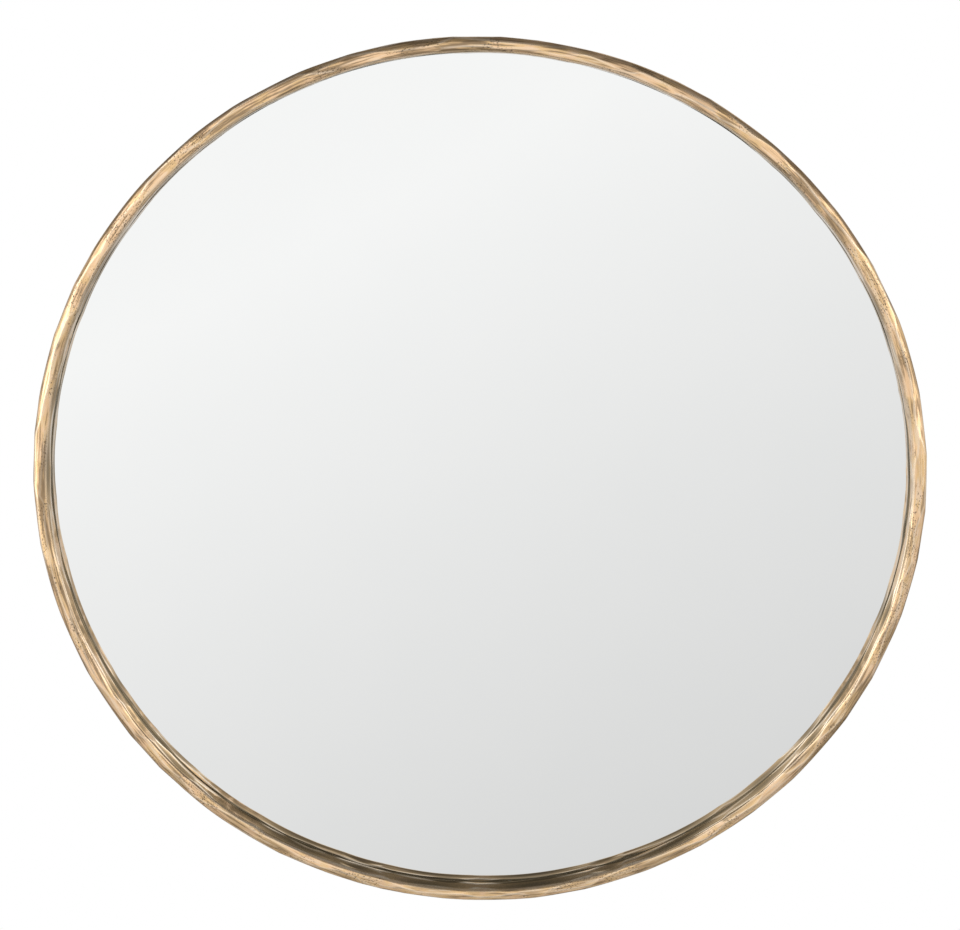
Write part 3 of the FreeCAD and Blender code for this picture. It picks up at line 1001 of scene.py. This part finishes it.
@dataclass
class RimLugs:
    """The eight drilled lugs that the ring has behind the board."""

    count: int = 8
    first_angle: float = 22.5
    root_radius: float = 443.3 * MM
    hole_radius: float = 429.7 * MM
    half_width: float = 12.0 * MM
    hole: float = 2.6 * MM
    front: float = -8.0 * MM
    back: float = -4.0 * MM
    edge: float = 0.7 * MM
    hole_edge: float = 0.28 * MM
    flare: float = 3.0 * MM
    flare_points: int = 5
    arc_points: int = 28
    outside: float = 0.8
    finish: AntiqueGold = field(
        default_factory=lambda: AntiqueGold(
            name="unrubbed_gold", rosy=(0.50, 0.36, 0.20), straw=(0.48, 0.36, 0.19), outside_darkening=0.5
        )
    )

    def angles(self) -> list[float]:
        """Say where the lugs stand round the ring."""
        return [math.radians(self.first_angle + 360.0 * number / self.count) for number in range(self.count)]

    def seats(self) -> list[tuple[float, float]]:
        """Find the x and z of the middle of every lug's hole."""
        return [turned(self.hole_radius, 0.0, angle) for angle in self.angles()]

    def outlines(self) -> tuple[Array, Array]:
        """Draw one lug flat, with its root along +x and its screw hole at 0, 0.

        Returns:
            The outer outline and the hole's outline, point for point.
        """
        root = self.root_radius - self.hole_radius
        turn = np.linspace(np.pi / 2, 3 * np.pi / 2, self.arc_points)
        nose = np.stack([self.half_width * np.cos(turn), self.half_width * np.sin(turn)], axis=1)
        swing = np.linspace(0.0, np.pi / 2, self.flare_points + 1)[1:]
        lower = self.flare * np.stack([np.sin(swing) - 1.0, np.cos(swing) - 1.0], axis=1)
        lower += (root, -self.half_width)
        upper = lower[::-1] * (1, -1)
        outer = np.concatenate([nose, lower, upper])
        bearing = np.unwrap(np.arctan2(outer[:, 1], outer[:, 0]))
        hole = self.hole * np.stack([np.cos(bearing), np.sin(bearing)], axis=1)
        return outer, hole

    def build(self) -> Piece:
        """Make all the lugs as one mesh, with softened edges and open holes.

        Returns:
            The lugs.
        """
        outer, hole = self.outlines()
        shrink = 1.0 - self.edge / self.half_width
        widen = 1.0 + self.hole_edge / self.hole
        loops = [
            (hole, self.front),
            (outer * shrink, self.front),
            (outer, self.front + self.edge),
            (outer, self.back - self.edge),
            (outer * shrink, self.back),
            (hole * widen, self.back),
            (hole, self.back - self.hole_edge),
        ]
        flat = np.concatenate([np.insert(outline, 1, level, axis=1) for outline, level in loops])
        faces = ring_faces(len(loops), len(outer), closed=True)
        places = []
        for angle in self.angles():
            x, z = turned(flat[:, 0] + self.hole_radius, flat[:, 2], angle)
            places.append(np.stack([x, flat[:, 1], z], axis=1))
        numbered = np.concatenate([faces + number * len(flat) for number in range(self.count)])
        piece = mesh_piece("rim_lugs", np.concatenate(places), numbered.tolist(), smooth=False)
        plain = {"ridge": 0.0, "hollow": 0.5, "tone": 0.5, "outside": self.outside, "inside": 0.0}
        for name, value in plain.items():
            store_value(piece, name, value)
        return piece

    def make(self) -> None:
        """Build the lugs, dress them and fix them to the mirror."""
        piece = self.build()
        self.finish.lay_on(piece)
        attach(piece, Body.MIRROR.value)
        LOG.info("%s: %d lugs", piece.name, self.count)


@dataclass
class MirrorPane:
    """The flat glass, silvered in front, painted at the back and ground round its edge."""

    radius: float = 442.3 * MM
    front: float = -22.0 * MM
    back: float = -18.0 * MM
    arris: float = 0.15 * MM
    points_around: int = 720
    silver: SilveredGlass = field(default_factory=SilveredGlass)
    ground: GroundEdge = field(default_factory=GroundEdge)
    paint: BackingPaint = field(default_factory=BackingPaint)

    def build(self) -> Piece:
        """Make the pane, with its ground faces marked for the second finish and its back for the third.

        Returns:
            The pane.
        """
        small = self.radius - self.arris
        outline = np.array(
            [
                (small, self.front),
                (self.radius, self.front + self.arris),
                (self.radius, self.back - self.arris),
                (small, self.back),
            ]
        )
        points = swept(outline[:, :1], outline[:, 1:], self.points_around)
        around = ring_faces(len(outline), self.points_around, closed=False)
        front = list(range(self.points_around))
        back = list(range(len(points) - self.points_around, len(points)))[::-1]
        piece = mesh_piece("mirror_pane", points, [front, back] + around[:, ::-1].tolist(), smooth=False)
        piece.data.polygons.foreach_set("material_index", [0, 2] + [1] * len(around))
        return piece

    def make(self) -> None:
        """Build the pane, dress it and put it in the place of the plain one."""
        piece = self.build()
        for finish in (self.silver, self.ground, self.paint):
            piece.data.materials.append(finish.material())
        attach(piece, Body.MIRROR.value)
        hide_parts("mirror_glass")
        LOG.info("%s: %d faces", piece.name, len(piece.data.polygons))


@dataclass
class PressedScrews:
    """A set of pan-head screws with a cross recess, all facing the wall."""

    name: str
    stands_for: str
    seats: list[tuple[float, float]]
    underside: float
    head_radius: float = 4.0 * MM
    head_rim: float = 0.7 * MM
    head_height: float = 2.4 * MM
    crown_points: int = 26
    crown_eye: float = 0.02 * MM
    side_share: float = 0.9
    bevel: float = 0.1 * MM
    shank_radius: float = 2.0 * MM
    shank_length: float = 3.0 * MM
    arm_length: float = 2.3 * MM
    arm_width: float = 0.85 * MM
    arm_slope: float = 0.28 * MM
    recess: float = 1.5 * MM
    recess_at_ends: float = 0.55
    turns: int = 72
    seed: int = 5
    finish: ZincSteel = field(default_factory=ZincSteel)

    def profile(self) -> Array:
        """Draw half the screw, from the middle of its head round to its shank.

        Returns:
            The radius and height above the underside of each point, the domed crown's first.
        """
        dome = self.head_height - self.head_rim
        sphere = (self.head_radius**2 + dome**2) / (2 * dome)
        radii = np.linspace(self.crown_eye, self.head_radius - self.bevel / 2, self.crown_points)
        crown = np.stack([radii, self.head_height - sphere + np.sqrt(sphere**2 - radii**2)], axis=1)
        below = [
            (self.head_radius, self.head_rim * self.side_share),
            (self.head_radius, self.bevel),
            (self.head_radius - self.bevel, 0.0),
            (self.shank_radius, 0.0),
            (self.shank_radius, -self.shank_length),
        ]
        return np.concatenate([crown, below])

    def pressed(self, x: Array, z: Array) -> Array:
        """Say how far the cross recess is pressed in at each point of a head.

        Args:
            x: Distance from the middle along one arm.
            z: Distance from the middle along the other arm.

        Returns:
            The depth of the recess, 0 outside it.
        """
        arms = []
        for along, beside in ((x, z), (z, x)):
            sides = np.clip((self.arm_width / 2 - np.abs(beside)) / self.arm_slope + 0.5, 0.0, 1.0)
            ends = np.clip((self.arm_length - np.abs(along)) / (2 * self.arm_slope), 0.0, 1.0)
            arms.append(sides * ends)
        middle = np.clip(1.0 - np.hypot(x, z) / self.arm_length, 0.0, 1.0)
        floor = self.recess_at_ends + (1.0 - self.recess_at_ends) * middle
        return self.recess * np.maximum(*arms) * floor

    def build(self) -> Piece:
        """Make every screw of the set in one mesh, each turned its own way.

        Returns:
            The screws.
        """
        random = np.random.default_rng(self.seed)
        profile = self.profile()
        x, z = turned(profile[:, :1], 0.0, even_turns(self.turns))
        height = np.broadcast_to(profile[:, 1:], x.shape).copy()
        crown = slice(self.crown_points)
        height[crown] -= self.pressed(x[crown], z[crown])
        faces = ring_faces(len(profile), self.turns, closed=False)[:, ::-1]
        places, numbered = [], []
        for number, (seat_x, seat_z) in enumerate(self.seats):
            turned_x, turned_z = turned(x, z, random.uniform(0.0, np.pi))
            place = np.stack([turned_x + seat_x, self.underside + height, turned_z + seat_z], axis=-1)
            places.append(place.reshape(-1, 3))
            first = number * x.size
            numbered += (faces + first).tolist()
            numbered.append(list(range(first, first + self.turns))[::-1])
        return mesh_piece(self.name, np.concatenate(places), numbered)

    def make(self) -> None:
        """Build the screws, dress them and put them in the place of the plain ones."""
        piece = self.build()
        self.finish.lay_on(piece)
        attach(piece, Body.MIRROR.value)
        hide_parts(self.stands_for)
        LOG.info("%s: %d screws", piece.name, len(self.seats))


@dataclass
class PlainParts:
    """The solids that keep their shape and only get a finish."""

    finishes: dict[Finish, tuple[str, ...]] = field(
        default_factory=lambda: {
            FoamTape(): ("mounting_tape",),
            PaintedBoard(): ("backing_board",),
            ZincSteel(): (
                "board_washers",
                "hanger_strap_left",
                "hanger_strap_right",
                "hanger_ring_left",
                "hanger_ring_right",
            ),
        }
    )

    def dress(self, nodes: Mapping[str, Piece]) -> None:
        """Lay each finish on its solids.

        Args:
            nodes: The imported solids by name.
        """
        for finish, names in self.finishes.items():
            finish.lay_on(*(nodes[name] for name in names))
            LOG.info("%s on %s", finish.name, ", ".join(names))


@dataclass(frozen=True)
class Softbox:
    """One upright soft lamp of the studio."""

    name: str
    place: Point
    width: float
    height: float
    watts: float

    def light(self) -> None:
        """Hang the lamp and turn it to the mirror's middle."""
        lamp = bpy.data.lights.new(self.name, "AREA")
        lamp.shape = "RECTANGLE"
        lamp.size = self.width
        lamp.size_y = self.height
        lamp.energy = self.watts
        holder = bpy.data.objects.new(self.name, lamp)
        holder.location = self.place
        holder.rotation_euler = (-Vector(self.place)).to_track_quat("-Z", "Y").to_euler()
        bpy.context.scene.collection.objects.link(holder)


@dataclass
class Studio:
    """The pale floor, the soft lamps, the white round them and the camera."""

    floor_level: float = -1.45
    floor_radius: float = 1.6
    floor_points: int = 96
    camera_place: Point = (0.0437, -1.6296, 0.4409)
    camera_target: Point = (0.0031, -0.0400, 0.0357)
    lens: float = 60.47
    sensor: float = 36.0
    ambient: float = 0.55
    sweep_level: float = 1.025
    sweep_sideways: float = -0.31
    sweep_upward: float = 0.565
    sweep_limits: Range = (0.4, 1.0)
    ceiling: float = 0.76
    ceiling_rise: Range = (0.20, 0.42)
    underfoot: float = 0.7
    underfoot_fall: Range = (-0.47, -0.8)
    softboxes: tuple[Softbox, ...] = (
        Softbox("left_softbox", (-2.45, -2.05, 0.65), width=1.9, height=3.2, watts=20.0),
        Softbox("right_softbox", (2.2, -2.1, 0.55), width=1.7, height=2.0, watts=11.0),
        Softbox("back_softbox", (0.6, 2.6, 1.6), width=3.0, height=2.4, watts=20.0),
    )
    floor_finish: StudioFloor = field(default_factory=StudioFloor)

    def lay_floor(self) -> None:
        """Lay the round pale floor below the mirror."""
        turn = even_turns(self.floor_points)
        rim = self.floor_radius * np.stack([np.cos(turn), np.sin(turn), 0 * turn], axis=1)
        floor = mesh_piece("studio_floor", rim, [list(range(self.floor_points))], smooth=False)
        floor.location.z = self.floor_level
        self.floor_finish.lay_on(floor)

    def paint_world(self) -> None:
        """Make the surround white to the camera and a pale sweep in metal and glass."""
        world = bpy.data.worlds.new("pale_sweep")
        world.use_nodes = True
        bpy.context.scene.world = world
        sheet = NodeSheet(world.node_tree)
        x, y, z = sheet.parts(sheet.add("TexCoord").outputs["Generated"])
        rise = sheet.times(z, self.sweep_upward)
        slide = sheet.times(x, sheet.within(sheet.times(y, -1.0)), self.sweep_sideways)
        sweep = sheet.within(sheet.plus(rise, slide, self.sweep_level), *self.sweep_limits)
        for shade, ends in ((self.ceiling, self.ceiling_rise), (self.underfoot, self.underfoot_fall)):
            sweep = sheet.times(sweep, sheet.minus(1.0, sheet.times(sheet.ease(z, *ends), shade)))
        path = sheet.add("LightPath").outputs
        shown = sheet.most(path["Is Glossy Ray"], path["Is Transmission Ray"])
        lit = sheet.blend(shown, (self.ambient,) * 3, sweep)
        white = sheet.blend(path["Is Camera Ray"], lit, (1.0, 1.0, 1.0))
        sheet.fill(world.node_tree.nodes["Background"], {"Color": white})

    def set_camera(self) -> None:
        """Put the camera where the photograph was taken from."""
        lens = bpy.data.cameras.new("photo_camera")
        lens.lens = self.lens
        lens.sensor_width = self.sensor
        camera = bpy.data.objects.new("photo_camera", lens)
        camera.location = self.camera_place
        toward = Vector(self.camera_target) - Vector(self.camera_place)
        camera.rotation_euler = toward.to_track_quat("-Z", "Y").to_euler()
        bpy.context.scene.collection.objects.link(camera)
        bpy.context.scene.camera = camera

    def make(self) -> None:
        """Set up the whole studio."""
        bpy.context.scene.view_settings.view_transform = "Standard"
        self.set_camera()
        self.lay_floor()
        self.paint_world()
        for softbox in self.softboxes:
            softbox.light()
        LOG.info("studio: %d softboxes", len(self.softboxes))


def main() -> None:
    """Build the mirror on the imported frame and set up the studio."""
    logging.basicConfig(level=logging.INFO, format="%(name)s: %(message)s")
    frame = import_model()
    lugs = RimLugs()
    strap_holes = [(side * STRAP_REACH, level) for side in (-1, 1) for level in STRAP_HOLE_LEVELS]
    HammeredRim().make()
    lugs.make()
    MirrorPane().make()
    PressedScrews("board_screws_pressed", "board_screws", lugs.seats(), BOARD_SCREW_UNDERSIDE).make()
    PressedScrews("hanger_screws_pressed", "hanger_screws", strap_holes, STRAP_SCREW_UNDERSIDE).make()
    PlainParts().dress(frame["nodes"])
    Studio().make()


if __name__ == "__main__":
    main()
